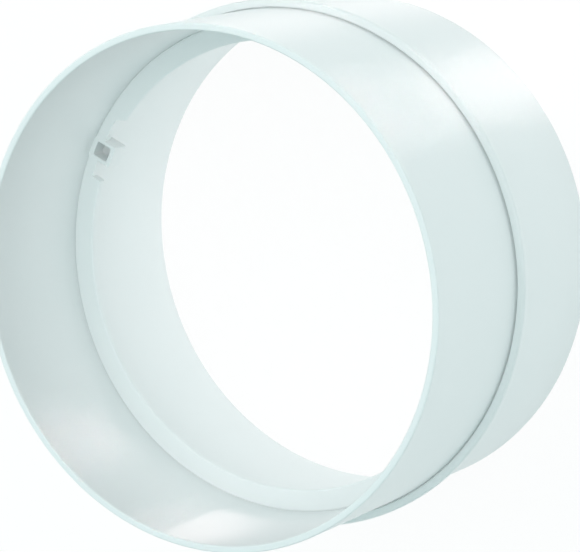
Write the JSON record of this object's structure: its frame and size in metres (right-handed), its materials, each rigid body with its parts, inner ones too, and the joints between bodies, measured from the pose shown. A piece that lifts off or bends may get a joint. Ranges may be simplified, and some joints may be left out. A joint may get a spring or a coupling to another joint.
{
  "type": "duct connector",
  "caption": "Round white moulded sleeve that joins two air ducts end to end, with an outer stop collar, an inner stiffening rib and opposed hinge sockets for a damper.",
  "frame": {"origin": "centre of the lower rim, on the surface that the sleeve stands on", "axes": "+Z along the duct's axis, up through the longer spigot; X through the two hinge sockets"},
  "size_m": [0.1026, 0.1026, 0.06],
  "materials": {
    "white_plastic": "smooth moulded white with a satin gloss"
  },
  "bodies": {
    "root": {"sleeve": "white_plastic"}
  },
  "joints": []
}
